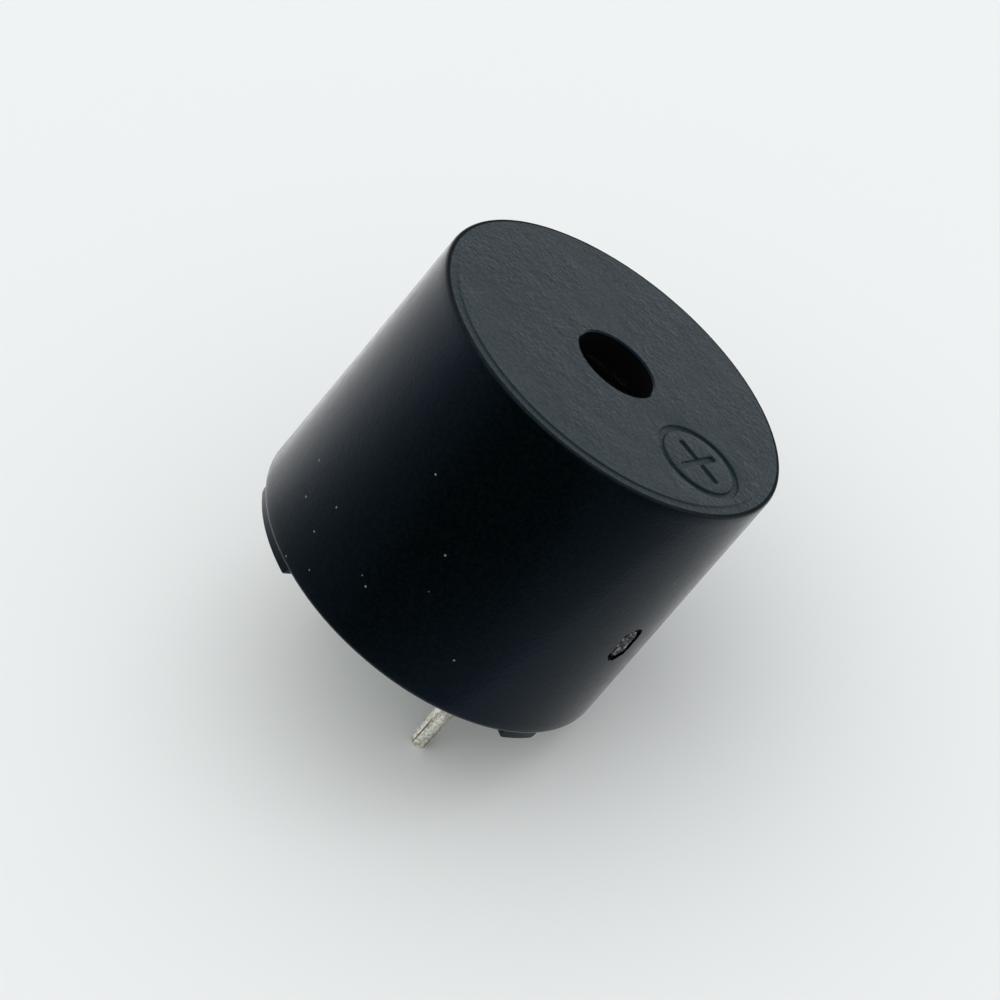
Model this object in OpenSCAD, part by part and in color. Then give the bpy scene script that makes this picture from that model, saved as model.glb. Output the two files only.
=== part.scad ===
// Passive magnetic buzzer, round, for through-hole boards.
// Frame: +Z runs up the case axis, +X points to the positive pin, and the origin
// lies on that axis in the seating plane, which is the underside of the feet.

/* [Case] */
// Diameter of the case at its bottom edge
case_d = 12; // [11.5:0.1:13]
// Height of the case shell, without its feet
case_h = 9.4; // [9:0.1:11]
// Draft of the moulded side wall, in degrees
case_draft = 0.9; // [0:0.1:1.5]
// Wall thickness at the bottom edge
wall = 0.8; // [0.7:0.05:0.95]
// Thickness of the roof that the sound hole passes through
roof = 0.9; // [0.7:0.05:1.1]
// Radius of the rounded edge between roof and side
edge_round = 0.1; // [0.05:0.05:0.4]
// Chamfer on the bottom edge of the side
foot_chamfer = 0.1; // [0.02:0.02:0.14]
// Flat shoulder between the rounded edge and the raised face
shoulder = 0.22; // [0.1:0.02:0.5]
// Height of the raised face above its shoulder
face_rise = 0.04; // [0.02:0.01:0.1]
// Diameter of the sound hole
sound_hole_d = 2.6; // [1.5:0.1:3.5]
// Small bevel on the lip of the sound hole
hole_bevel = 0.05; // [0.02:0.01:0.15]
// Height of the front chamber under the roof
chamber_h = 1.2; // [0.9:0.1:1.4]
// Width of the ledge that stops the support ring
ledge = 0.6; // [0.45:0.05:0.9]

/* [Feet] */
// Height of the feet that hold the case off the board
foot_h = 0.3; // [0.2:0.05:0.6]
// Radial width of each foot
foot_w = 0.55; // [0.35:0.05:0.6]
// Step from the side of the case in to the feet
foot_inset = 0.12; // [0.02:0.02:0.16]
// Direction of the narrow foot from the positive pin, in degrees
foot_turn = -4; // [-20:0.5:20]
// Angle from the narrow foot to each wide foot
foot_spread = 107.5; // [90:0.5:125]
// Arc of the narrow foot
narrow_foot_arc = 13.5; // [10:0.5:30]
// Arc of each wide foot
wide_foot_arc = 35; // [20:1:50]

/* [Marks on the case] */
// Direction of the circled plus from the positive pin
mark_turn = 9.6; // [-20:0.2:20]
// Distance of the circled plus from the case axis
mark_reach = 3.8; // [3.2:0.1:3.9]
// Outer diameter of the circle
mark_d = 2.8; // [2:0.1:2.9]
// Width of the engraved lines
mark_line = 0.2; // [0.1:0.01:0.25]
// Depth of the engraved lines
mark_depth = 0.09; // [0.03:0.01:0.15]
// Length of each stroke of the plus
plus_len = 1.65; // [1:0.05:1.7]
// Direction of the moulding gate scar from the positive pin
gate_turn = 6.4; // [-20:0.2:20]
// Height of the gate scar above the bottom edge of the case
gate_z = 3.95; // [2:0.05:6]
// Width of the gate scar
gate_w = 0.86; // [0.5:0.02:1]
// Height of the gate scar
gate_h = 1.4; // [1.1:0.05:2]
// Depth of the gate scar
gate_depth = 0.12; // [0.06:0.02:0.25]
// Diameter of the broken stub in the gate scar
gate_stub_d = 0.4; // [0.2:0.02:0.44]
// Height of the broken stub above the floor of the scar
gate_stub_h = 0.1; // [0.04:0.01:0.15]

/* [Terminals] */
// Distance between the centres of the two pins
pin_pitch = 6.5; // [6:0.1:7]
// Diameter of each pin
pin_d = 0.6; // [0.5:0.05:0.8]
// Length of each pin below the seating plane
pin_len = 3.45; // [2:0.05:8]
// Length of each pin above the circuit board
pin_stub = 0.3; // [0.1:0.05:0.6]
// Radius at the end of each pin
pin_tip_round = 0.2; // [0.05:0.01:0.24]
// Step out from each pin to its thicker shank, which sits in the board
pin_step = 0.05; // [0.03:0.01:0.1]

/* [Circuit board] */
// Depth of the circuit board inside the bottom edge of the case
board_recess = 0.8; // [0.6:0.05:1]
// Thickness of the circuit board
board_t = 0.8; // [0.6:0.1:1]
// Thickness of the copper lands
land_t = 0.05; // [0.035:0.005:0.1]
// Diameter of the land around each pin
land_d = 1.9; // [1.6:0.05:2]
// Diameter of the land for each coil lead
lead_land_d = 1.1; // [0.9:0.05:1.2]
// Width of the track that joins the two lands
track_w = 0.5; // [0.3:0.05:0.8]
// How far in from its pin the land of a coil lead lies, along the pin line
lead_land_in = 1.1; // [0.6:0.05:1.3]
// How far from the pin line the land of a coil lead lies
lead_land_out = 1.75; // [1.6:0.05:2]
// Bare copper left round each patch of solder
land_margin = 0.12; // [0.05:0.01:0.2]
// Height of the solder cone on each pin
pin_solder_h = 0.55; // [0.3:0.05:0.6]
// Height of the solder dot on each coil lead
lead_solder_h = 0.32; // [0.25:0.01:0.4]
// Height and width of the bead that seals the board into the case
seal = 0.5; // [0.3:0.05:0.55]

/* [Sounder] */
// Thickness of the yoke plate
yoke_t = 1; // [0.8:0.1:1.2]
// Diameter of the core
core_d = 2; // [1.6:0.1:2.4]
// Air gap between the core and the diaphragm
air_gap = 0.25; // [0.15:0.05:0.4]
// How far the core stands proud of the coil
core_proud = 0.65; // [0.3:0.05:1.2]
// Room between the coil and the ring magnet, where the leads go down
coil_gap = 0.6; // [0.45:0.05:1]
// Diameter of the coil's lead wires
lead_d = 0.12; // [0.08:0.01:0.16]
// Height above the yoke plate at which the leads leave the coil
lead_rise = 0.3; // [0.15:0.05:0.8]
// Radial thickness of the ring magnet
magnet_wall = 1; // [0.7:0.05:1.4]
// Room between the ring magnet and the diaphragm
magnet_gap = 0.8; // [0.4:0.05:1.4]
// Radial thickness of the support ring beside the magnet
ring_wall = 0.6; // [0.55:0.05:0.65]
// Radial thickness of the support ring's lip beside the diaphragm
lip_wall = 0.35; // [0.25:0.05:0.4]
// Height of the support ring's lip above the diaphragm's seat
lip_h = 0.7; // [0.5:0.05:0.8]
// Thickness of the diaphragm
diaphragm_t = 0.06; // [0.04:0.01:0.1]
// Diameter of the armature disc on the diaphragm
armature_d = 3.2; // [2:0.1:4]
// Thickness of the armature disc
armature_t = 0.4; // [0.2:0.05:0.5]

/* [Fits] */
// Radial clearance of round pieces inside the case and the support ring
fit_gap = 0.05; // [0.02:0.01:0.08]
// Radial clearance of the holes that pins and wires pass through
hole_gap = 0.08; // [0.04:0.01:0.15]
// Radial clearance between each pin and the yoke plate
pin_insulation = 0.35; // [0.25:0.05:0.5]
// Hair's breadth between a coil lead and what it passes
lead_gap = 0.01; // [0.005:0.005:0.03]

/* [Hidden] */

$fn = 96;
arc_steps = 8;   // straight steps in a small quarter arc
over = 0.5;      // how far a cutting solid runs past the face it cuts

case_r = case_d / 2;
case_low = foot_h;
case_top = case_low + case_h;
shoulder_z = case_top - face_rise;
top_r = case_r - case_h * tan(case_draft);
face_r = top_r - edge_round - shoulder;
bore_r = case_r - wall;
chamber_r = bore_r - ledge;
roof_z = case_top - roof;
ledge_z = roof_z - chamber_h;

board_low = case_low + board_recess;
board_top = board_low + board_t;
board_r = bore_r - fit_gap;
land_z = board_low - land_t;
yoke_top = board_top + yoke_t;

ring_r = bore_r - fit_gap;
ring_bore_r = ring_r - ring_wall;
pocket_r = ring_r - lip_wall;
seat_z = ledge_z - lip_h;
diaphragm_r = pocket_r - fit_gap;
magnet_r = ring_bore_r - fit_gap;
core_r = core_d / 2;
core_top = seat_z - air_gap;
magnet_in = magnet_r - magnet_wall;
coil_r = magnet_in - coil_gap;

pin_r = pin_d / 2;
shank_r = pin_r + pin_step;
pin_x = pin_pitch / 2;
pin_top = board_top + pin_stub;
shank_z = land_z - pin_solder_h;
pin_solder_r = land_d / 2 - land_margin;

// The leads leave the coil on the Y axis, midway between the coil and the magnet
lead_y = (coil_r + magnet_in) / 2;
lead_z = yoke_top + lead_rise;
lead_run_z = land_z - lead_gap - lead_d / 2;
lead_hole_r = lead_d / 2 + hole_gap;
// Where each lead is soldered: beside its pin, clear of the pin's own solder
lead_end = [pin_x - lead_land_in, lead_land_out];

// Points of an arc about [cx, cy] from angle a0 to a1
function arc(cx, cy, r, a0, a1) = [
    for (i = [0 : arc_steps]) let (a = a0 + (a1 - a0) * i / arc_steps) [cx + r * cos(a), cy + r * sin(a)]
];

// Radius of the drafted side at height z
function side_r(z) = case_r - (z - case_low) * tan(case_draft);

module tube(r_out, r_in, h) {
    difference() {
        cylinder(r = r_out, h = h);
        translate([0, 0, -over]) cylinder(r = r_in, h = h + 2 * over);
    }
}

// A round wire through a list of points, with ball corners
module wire(points, d) {
    for (i = [1 : len(points) - 1]) {
        run = points[i] - points[i - 1];
        flat = norm([run.x, run.y]);
        translate(points[i - 1]) rotate([0, atan2(flat, run.z), atan2(run.y, run.x)])
            cylinder(d = d, h = norm(run), $fn = 24);
    }
    for (i = [1 : 1 : len(points) - 2]) translate(points[i]) sphere(d = d, $fn = 24);
}

// Half-turn copy for the pieces of the negative side
module negative_side() {
    rotate([0, 0, 180]) children();
}

// Outer body of the case: drafted side, rounded edge, shoulder and raised face
module case_body() {
    rotate_extrude() polygon(concat(
        [[0, case_low], [case_r - foot_chamfer, case_low], [case_r, case_low + foot_chamfer]],
        arc(top_r - edge_round, shoulder_z - edge_round, edge_round, 0, 90),
        [[face_r + face_rise, shoulder_z], [face_r, case_top], [0, case_top]]
    ));
}

// One arc-shaped foot, centred on direction turn
module foot(turn, sweep) {
    foot_out = case_r - foot_inset;
    rotate([0, 0, turn - sweep / 2]) rotate_extrude(angle = sweep)
        translate([foot_out - foot_w, 0]) square([foot_w, foot_h + foot_chamfer]);
}

// Engraved circle with a plus, its strokes along and across the radius
module polarity_mark() {
    rotate([0, 0, mark_turn]) translate([mark_reach, 0, case_top - mark_depth]) {
        tube(mark_d / 2, mark_d / 2 - mark_line, mark_depth + over);
        for (quarter = [0, 90]) rotate([0, 0, quarter])
            translate([-plus_len / 2, -mark_line / 2, 0]) cube([plus_len, mark_line, mark_depth + over]);
    }
}

// Rod with a long round section, lying along +X
module oval_rod(w, h, length) {
    rotate([0, 90, 0]) {
        for (side = [-1, 1]) translate([side * (h - w) / 2, 0, 0]) cylinder(d = w, h = length, $fn = 48);
        translate([-(h - w) / 2, -w / 2, 0]) cube([h - w, w, length]);
    }
}

// Shallow oval scar left by the moulding gate, with the broken stub in it
module gate_scar() {
    z = case_low + gate_z;
    floor_r = side_r(z) - gate_depth;
    rotate([0, 0, gate_turn]) translate([floor_r, 0, z]) difference() {
        oval_rod(gate_w, gate_h, over + gate_depth);
        translate([-over, 0, 0]) rotate([0, 90, 0])
            cylinder(d = gate_stub_d, h = over + gate_stub_h, $fn = 32);
    }
}

module case() {
    color("#1b1d20") difference() {
        union() {
            case_body();
            foot(foot_turn, narrow_foot_arc);
            for (side = [-1, 1]) foot(foot_turn + side * foot_spread, wide_foot_arc);
        }
        translate([0, 0, -over]) cylinder(r = bore_r, h = ledge_z + over);
        cylinder(r = chamber_r, h = roof_z);
        cylinder(d = sound_hole_d, h = case_top + over);
        translate([0, 0, case_top - hole_bevel])
            cylinder(r1 = sound_hole_d / 2, r2 = sound_hole_d / 2 + hole_bevel + over, h = hole_bevel + over);
        polarity_mark();
        gate_scar();
    }
}

module diaphragm() {
    color("#b9bcc0") translate([0, 0, seat_z]) cylinder(r = diaphragm_r, h = diaphragm_t);
}

module armature() {
    color("#9a9da2") translate([0, 0, seat_z + diaphragm_t]) cylinder(d = armature_d, h = armature_t);
}

// Stands on the yoke plate, carries the diaphragm and bears on the case's ledge
module support_ring() {
    color("#d8d4c6") rotate_extrude() polygon([
        [ring_bore_r, yoke_top], [ring_r, yoke_top], [ring_r, ledge_z],
        [pocket_r, ledge_z], [pocket_r, seat_z], [ring_bore_r, seat_z]
    ]);
}

module magnet() {
    color("#3d3d41") translate([0, 0, yoke_top]) tube(magnet_r, magnet_in, seat_z - magnet_gap - yoke_top);
}

module core() {
    color("#a8abb0") translate([0, 0, board_top]) cylinder(r = core_r, h = core_top - board_top);
}

module yoke_plate() {
    color("#b3b6ba") difference() {
        translate([0, 0, board_top]) cylinder(r = ring_r, h = yoke_t);
        translate([0, 0, board_top - over]) {
            cylinder(r = core_r, h = yoke_t + 2 * over);
            for (side = [-1, 1]) {
                translate([side * pin_x, 0, 0]) cylinder(r = shank_r + pin_insulation, h = yoke_t + 2 * over);
                translate([0, side * lead_y, 0]) cylinder(r = lead_hole_r, h = yoke_t + 2 * over);
            }
        }
    }
}

module coil() {
    color("#b4642e") translate([0, 0, yoke_top]) tube(coil_r, core_r + fit_gap, core_top - core_proud - yoke_top);
}

module circuit_board() {
    color("#2f6b3d") difference() {
        translate([0, 0, board_low]) cylinder(r = board_r, h = board_t);
        translate([0, 0, board_low - over]) for (side = [-1, 1]) {
            translate([side * pin_x, 0, 0]) cylinder(r = shank_r + hole_gap, h = board_t + 2 * over);
            translate([0, side * lead_y, 0]) cylinder(r = lead_hole_r, h = board_t + 2 * over);
        }
    }
}

// Copper land around a pin, with a track to the smaller land of the coil lead
module land() {
    run = lead_end - [pin_x, 0];
    color("#c9a15a") difference() {
        translate([0, 0, land_z]) {
            translate([pin_x, 0, 0]) cylinder(d = land_d, h = land_t);
            translate([lead_end.x, lead_end.y, 0]) cylinder(d = lead_land_d, h = land_t);
            translate([pin_x, 0, 0]) rotate([0, 0, atan2(run.y, run.x)])
                translate([0, -track_w / 2, 0]) cube([norm(run), track_w, land_t]);
        }
        translate([pin_x, 0, land_z - over]) cylinder(r = shank_r + hole_gap, h = land_t + 2 * over);
    }
}

// Round pin with a thicker shank, which starts at the tip of the solder cone
module pin() {
    color("#c7c8c4") translate([pin_x, 0, 0]) rotate_extrude() polygon(concat(
        [[0, pin_top], [0, -pin_len]],
        arc(pin_r - pin_tip_round, pin_tip_round - pin_len, pin_tip_round, -90, 0),
        [[pin_r, shank_z - pin_step], [shank_r, shank_z], [shank_r, pin_top]]
    ));
}

// Concave cone of solder between a pin and its land
module pin_solder() {
    solder_w = pin_solder_r - shank_r;
    curve = [
        for (i = [0 : arc_steps]) let (a = 90 * i / arc_steps)
            [pin_solder_r - solder_w * sin(a), land_z - pin_solder_h * (1 - cos(a))]
    ];
    color("#bfc1c2") translate([pin_x, 0, 0]) rotate_extrude() polygon(concat([[shank_r, land_z]], curve));
}

function lead_route() = [
    [0, coil_r + lead_gap, lead_z],
    [0, lead_y, lead_z],
    [0, lead_y, lead_run_z],
    [lead_end.x, lead_end.y, lead_run_z]
];

module lead() {
    color("#b4642e") wire(lead_route(), lead_d);
}

// Low dome of solder over the end of a coil lead
module lead_solder() {
    foot_r = lead_land_d / 2 - land_margin;
    dome_r = (foot_r * foot_r + lead_solder_h * lead_solder_h) / (2 * lead_solder_h);
    color("#bfc1c2") difference() {
        translate([lead_end.x, lead_end.y, land_z]) intersection() {
            translate([0, 0, dome_r - lead_solder_h]) sphere(r = dome_r, $fn = 64);
            translate([0, 0, -lead_solder_h - over]) cylinder(r = dome_r + over, h = lead_solder_h + over);
        }
        wire(lead_route(), lead_d);
    }
}

// Concave bead of resin in the corner between the board and the bore of the case
module seal_bead() {
    color("#26282b") rotate_extrude() polygon(concat(
        [[bore_r, board_low]],
        arc(bore_r - seal, board_low - seal, seal, 90, 0)
    ));
}

case();
diaphragm();
armature();
support_ring();
magnet();
core();
yoke_plate();
coil();
circuit_board();
land();  // land_positive
negative_side() land();  // land_negative
pin();  // pin_positive
negative_side() pin();  // pin_negative
pin_solder();  // pin_solder_positive
negative_side() pin_solder();  // pin_solder_negative
lead();  // lead_positive
negative_side() lead();  // lead_negative
lead_solder();  // lead_solder_positive
negative_side() lead_solder();  // lead_solder_negative
seal_bead();
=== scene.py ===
"""Looks of a round passive magnetic sounder: its meshes, finishes, stage and camera.

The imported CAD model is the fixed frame. Lengths in the classes are in millimetres, and every mesh is
written in metres, in the frame of the part: +Z up the case axis, +X towards the positive pin.
"""

import logging
import math
import random
from collections.abc import Iterable, Sequence
from dataclasses import dataclass, field
from enum import Enum, IntEnum

import bmesh
import bpy
from mathutils import Matrix, Vector


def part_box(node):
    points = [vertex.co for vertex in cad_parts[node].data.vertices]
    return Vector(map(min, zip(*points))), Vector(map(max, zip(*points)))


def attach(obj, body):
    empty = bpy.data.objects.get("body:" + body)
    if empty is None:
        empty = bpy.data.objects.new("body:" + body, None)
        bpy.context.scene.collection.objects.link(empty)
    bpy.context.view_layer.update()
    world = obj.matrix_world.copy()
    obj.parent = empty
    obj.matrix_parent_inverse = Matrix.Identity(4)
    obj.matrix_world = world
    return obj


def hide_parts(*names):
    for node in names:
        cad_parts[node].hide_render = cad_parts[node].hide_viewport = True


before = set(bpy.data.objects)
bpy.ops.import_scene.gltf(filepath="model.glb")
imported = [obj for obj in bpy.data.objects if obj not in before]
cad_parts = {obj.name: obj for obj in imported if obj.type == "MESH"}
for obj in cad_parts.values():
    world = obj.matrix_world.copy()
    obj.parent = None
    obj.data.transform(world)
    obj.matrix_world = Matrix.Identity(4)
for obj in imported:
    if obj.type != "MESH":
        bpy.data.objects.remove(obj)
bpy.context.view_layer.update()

LOG = logging.getLogger("sounder")
MM = 0.001
BODY = "root"
SHARP_EDGE = math.radians(38)
# Rounding of a plus sign's corners, as a share of half its stroke.
PLUS_BLUNT = 0.7
# Width of one band of Blender's wave texture at a scale of 1.
WAVE_WIDTH = 0.314

Point2 = tuple[float, float]
Point3 = tuple[float, float, float]
Tree = bpy.types.NodeTree
Socket = bpy.types.NodeSocket
Shade = str | float | Socket


# ---------------------------------------------------------------- shapes


class Cut(Enum):
    """What a tool solid does to the body it meets."""

    ADD = "UNION"
    TAKE = "DIFFERENCE"


def mm(value: float) -> float:
    """Turns millimetres into metres."""
    return value * MM


def span(node: str) -> Point3:
    """Reads the size of a round CAD node that stands on the Z axis.

    Args:
        node: Name of the node.

    Returns:
        Its outer radius, its lowest level and its highest, in millimetres, to a micron.
    """
    low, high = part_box(node)
    return (round(high.x / MM, 3), round(low.z / MM, 3), round(high.z / MM, 3))


def arc(centre: Point2, radius: float, start: float, end: float, steps: int = 8) -> list[Point2]:
    """Lists the points of an arc in a profile.

    Args:
        centre: Centre of the arc.
        radius: Radius of the arc.
        start: First angle in degrees.
        end: Last angle in degrees.
        steps: Number of straight steps.

    Returns:
        The points, both ends included.
    """
    angles = [math.radians(start + (end - start) * i / steps) for i in range(steps + 1)]
    return [(centre[0] + radius * math.cos(a), centre[1] + radius * math.sin(a)) for a in angles]


def rise(start: Point2, end: Point2, steps: int) -> list[Point2]:
    """Lists the points of a straight line in a profile, without its last point.

    Args:
        start: First point.
        end: Point that the line runs to.
        steps: Number of equal steps.

    Returns:
        The points from the start on.
    """
    shares = [i / steps for i in range(steps)]
    return [(start[0] + (end[0] - start[0]) * t, start[1] + (end[1] - start[1]) * t) for t in shares]


def shade(mesh: bpy.types.Mesh) -> None:
    """Shades a mesh smooth, apart from its sharp edges.

    Args:
        mesh: The mesh.
    """
    mesh.polygons.foreach_set("use_smooth", [True] * len(mesh.polygons))
    mesh.set_sharp_from_angle(angle=SHARP_EDGE)
    mesh.update()


def put(name: str, data: bpy.types.ID) -> bpy.types.Object:
    """Links a new object to the scene.

    Args:
        name: Name of the object.
        data: Its mesh or its camera.

    Returns:
        The object, at the origin.
    """
    thing = bpy.data.objects.new(name, data)
    bpy.context.scene.collection.objects.link(thing)
    return thing


def solid(name: str, points: Iterable[Point3], faces: Iterable[Sequence[int]]) -> bpy.types.Object:
    """Makes one closed mesh object from points in millimetres.

    Args:
        name: Name of the object.
        points: Corners in millimetres.
        faces: Corner numbers of each face.

    Returns:
        The object, with its faces turned outwards and its shading set.
    """
    mesh = bpy.data.meshes.new(name)
    mesh.from_pydata([tuple(mm(c) for c in p) for p in points], [], [tuple(f) for f in faces])
    work = bmesh.new()
    work.from_mesh(mesh)
    bmesh.ops.recalc_face_normals(work, faces=work.faces)
    work.to_mesh(mesh)
    work.free()
    shade(mesh)
    return put(name, mesh)


def turned(
    name: str, profile: Sequence[Point2], sweep: Point2 = (0.0, 360.0), segments: int = 256
) -> bpy.types.Object:
    """Turns a closed profile about the Z axis, as a lathe does.

    Args:
        name: Name of the object.
        profile: Radius and height of each corner, in order round the profile.
        sweep: First and last angle in degrees.
        segments: Number of steps over the sweep.

    Returns:
        The turned solid. A part turn gets flat ends.
    """
    full = sweep[1] - sweep[0] >= 360
    stations = segments if full else segments + 1
    points: list[Point3] = []
    rows: list[list[int]] = []
    for radius, height in profile:
        if radius <= 0:
            points.append((0.0, 0.0, height))
            rows.append([len(points) - 1] * stations)
            continue
        rows.append(list(range(len(points), len(points) + stations)))
        for k in range(stations):
            a = math.radians(sweep[0] + (sweep[1] - sweep[0]) * k / segments)
            points.append((radius * math.cos(a), radius * math.sin(a), height))
    faces: list[list[int]] = []
    for row, after in zip(rows, rows[1:] + rows[:1]):
        for k in range(segments):
            j = (k + 1) % stations
            corners = list(dict.fromkeys([row[k], row[j], after[j], after[k]]))
            if len(corners) > 2:
                faces.append(corners)
    if not full:
        faces.append([row[0] for row in rows])
        faces.append([row[-1] for row in rows])
    return solid(name, points, faces)


def lofted(name: str, loops: Sequence[Sequence[Point3]]) -> bpy.types.Object:
    """Joins loops of equal length into one closed solid.

    Args:
        name: Name of the object.
        loops: Loops of points from one end to the other.

    Returns:
        The solid, closed by its first and last loop.
    """
    count = len(loops[0])
    points = [p for loop in loops for p in loop]
    faces = [list(range(count)), list(range(len(points) - count, len(points)))]
    for level in range(len(loops) - 1):
        low, high = level * count, (level + 1) * count
        for k in range(count):
            j = (k + 1) % count
            faces.append([low + k, low + j, high + j, high + k])
    return solid(name, points, faces)


def around(turn: float, spot: Point3 = (0.0, 0.0, 0.0)) -> Matrix:
    """Works out the move to a spot that is then turned about the Z axis.

    Args:
        turn: Angle in degrees.
        spot: The spot before the turn, in millimetres.

    Returns:
        The move, in metres.
    """
    return Matrix.Rotation(math.radians(turn), 4, "Z") @ Matrix.Translation([mm(c) for c in spot])


def place(piece: bpy.types.Object, matrix: Matrix) -> bpy.types.Object:
    """Moves a mesh itself and leaves its object at the origin."""
    piece.data.transform(matrix)
    return piece


def combine(body: bpy.types.Object, tool: bpy.types.Object, how: Cut) -> None:
    """Adds a tool solid to a body or cuts it away, and removes the tool.

    Args:
        body: The object that stays.
        tool: The solid that is added or cut away.
        how: Whether to add or to take away.
    """
    modifier = body.modifiers.new("combine", "BOOLEAN")
    modifier.operation = how.value
    modifier.solver = "EXACT"
    modifier.object = tool
    harden(body)
    bpy.data.objects.remove(tool)


def harden(piece: bpy.types.Object) -> None:
    """Turns the result of a piece's modifiers into its plain mesh.

    Args:
        piece: The piece, which loses its modifiers.
    """
    graph = bpy.context.evaluated_depsgraph_get()
    mesh = bpy.data.meshes.new_from_object(piece.evaluated_get(graph), depsgraph=graph)
    piece.modifiers.clear()
    piece.data = mesh
    mesh.name = piece.name


# ---------------------------------------------------------------- node helpers


def linear(hex_color: str) -> tuple[float, float, float, float]:
    """Turns an sRGB colour into linear values.

    Args:
        hex_color: The colour, such as #1c4a2c.

    Returns:
        Its red, green and blue, with full alpha.
    """
    parts = [int(hex_color[i : i + 2], 16) / 255 for i in (1, 3, 5)]
    values = [c / 12.92 if c <= 0.04045 else ((c + 0.055) / 1.055) ** 2.4 for c in parts]
    return (values[0], values[1], values[2], 1.0)


def add_node(
    tree: Tree,
    kind: str,
    inputs: dict[str | int, object] | None = None,
    **settings: object,
) -> bpy.types.Node:
    """Adds one node with its settings, values and links.

    Args:
        tree: The tree that the node goes into.
        kind: Type name of the node.
        inputs: Value, or output socket to link, for each input by name or number.
        **settings: Properties of the node.

    Returns:
        The new node.
    """
    node = tree.nodes.new(kind)
    for key, value in settings.items():
        setattr(node, key, value)
    for key, value in (inputs or {}).items():
        if isinstance(value, Socket):
            tree.links.new(value, node.inputs[key])
        else:
            node.inputs[key].default_value = value
    return node


# ---------------------------------------------------------------- finishes


def new_material(name: str, values: dict[str, object] | None = None) -> bpy.types.Material:
    """Starts a material that is made of nodes.

    Args:
        name: Name of the material.
        values: Value of each shader input that it sets, by the input's name.

    Returns:
        The material.
    """
    material = bpy.data.materials.new(name)
    material.use_nodes = True
    shader = material.node_tree.nodes["Principled BSDF"]
    for key, value in (values or {}).items():
        shader.inputs[key].default_value = value
    return material


@dataclass(frozen=True)
class Surface:
    """The node tree of one material, with the ways to draw a pattern on it.

    Widths and depths are in millimetres. A band is the two factors between which something changes.
    """

    tree: Tree
    shader: bpy.types.Node
    spot: Socket

    def give(self, name: str, value: Socket) -> None:
        """Links a value to the shader's input of that name."""
        self.tree.links.new(value, self.shader.inputs[name])

    def noise(self, width: float, detail: float = 2.0, stretch: Point3 = (1.0, 1.0, 1.0)) -> Socket:
        """Draws soft spots on Object coordinates.

        Args:
            width: Width of a spot.
            detail: Number of finer layers.
            stretch: How many times longer the spots are along each axis.

        Returns:
            The factor, from 0 to 1.
        """
        scale = tuple(1.0 / s for s in stretch)
        mapped = add_node(self.tree, "ShaderNodeMapping", {"Vector": self.spot, "Scale": scale})
        spots = {"Vector": mapped.outputs["Vector"], "Scale": 1.0 / mm(width), "Detail": detail}
        return add_node(self.tree, "ShaderNodeTexNoise", spots).outputs["Fac"]

    def blend(self, factor: Socket, band: Point2, low: Shade, high: Shade) -> Socket:
        """Goes smoothly from one colour or value to another.

        Args:
            factor: What the change follows.
            band: The factors at the first and at the second.
            low: The first, as an sRGB hex colour, a colour socket or a number.
            high: The second, likewise.

        Returns:
            The colour or the value.
        """
        share = add_node(
            self.tree,
            "ShaderNodeMapRange",
            {"Value": factor, "From Min": band[0], "From Max": band[1]},
            interpolation_type="SMOOTHSTEP",
        )
        kind, first, result = ("FLOAT", 2, 0) if isinstance(low, float) else ("RGBA", 6, 2)
        inputs = {"Factor": share.outputs["Result"]}
        for number, end in enumerate((low, high), start=first):
            inputs[number] = linear(end) if isinstance(end, str) else end
        return add_node(self.tree, "ShaderNodeMix", inputs, data_type=kind).outputs[result]

    def stack(self, *layers: tuple[Socket, float]) -> Socket:
        """Adds up layers of height.

        Args:
            *layers: The factor and the depth of each layer, the base first.

        Returns:
            The height, as a share of the base's depth.
        """
        (height, base), *others = layers
        for factor, depth in others:
            steps = {0: factor, 1: depth / base, 2: height}
            height = add_node(self.tree, "ShaderNodeMath", steps, operation="MULTIPLY_ADD").outputs[0]
        return height

    def bump(self, height: Socket, depth: float) -> None:
        """Bumps the surface.

        Args:
            height: The height, as a share of the depth.
            depth: Depth at a height of 1.
        """
        inputs = {"Height": height, "Distance": mm(depth), "Strength": 1.0}
        self.give("Normal", add_node(self.tree, "ShaderNodeBump", inputs).outputs["Normal"])


@dataclass(frozen=True)
class Finish:
    """One material: its colour and gloss and, in the classes below, its pattern.

    Over the gloss band, the roughness goes between the two shares of itself in the gloss spread.
    """

    name: str
    color: str
    roughness: float
    ior: float = 1.5
    metallic: float = 0.0
    tint: str = "#ffffff"
    gloss_band: Point2 = (0.3, 0.7)
    gloss_spread: Point2 = (0.8, 1.3)

    def material(self) -> bpy.types.Material:
        """Builds the material once, or returns the one that is there.

        Returns:
            The material, with its pattern in place.
        """
        known = bpy.data.materials.get(self.name)
        if known:
            return known
        values = {
            "Base Color": linear(self.color),
            "Roughness": self.roughness,
            "IOR": self.ior,
            "Metallic": self.metallic,
            "Specular Tint": linear(self.tint),
        }
        material = new_material(self.name, values)
        tree = material.node_tree
        spot = add_node(tree, "ShaderNodeTexCoord").outputs["Object"]
        self.pattern(Surface(tree, tree.nodes["Principled BSDF"], spot))
        return material

    def pattern(self, surface: Surface) -> None:
        """Draws what varies over the surface. The base finish is even."""

    def vary_gloss(self, surface: Surface, factor: Socket) -> None:
        """Varies the roughness with a factor, over the gloss band."""
        ends = (self.roughness * share for share in self.gloss_spread)
        surface.give("Roughness", surface.blend(factor, self.gloss_band, *ends))


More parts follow.
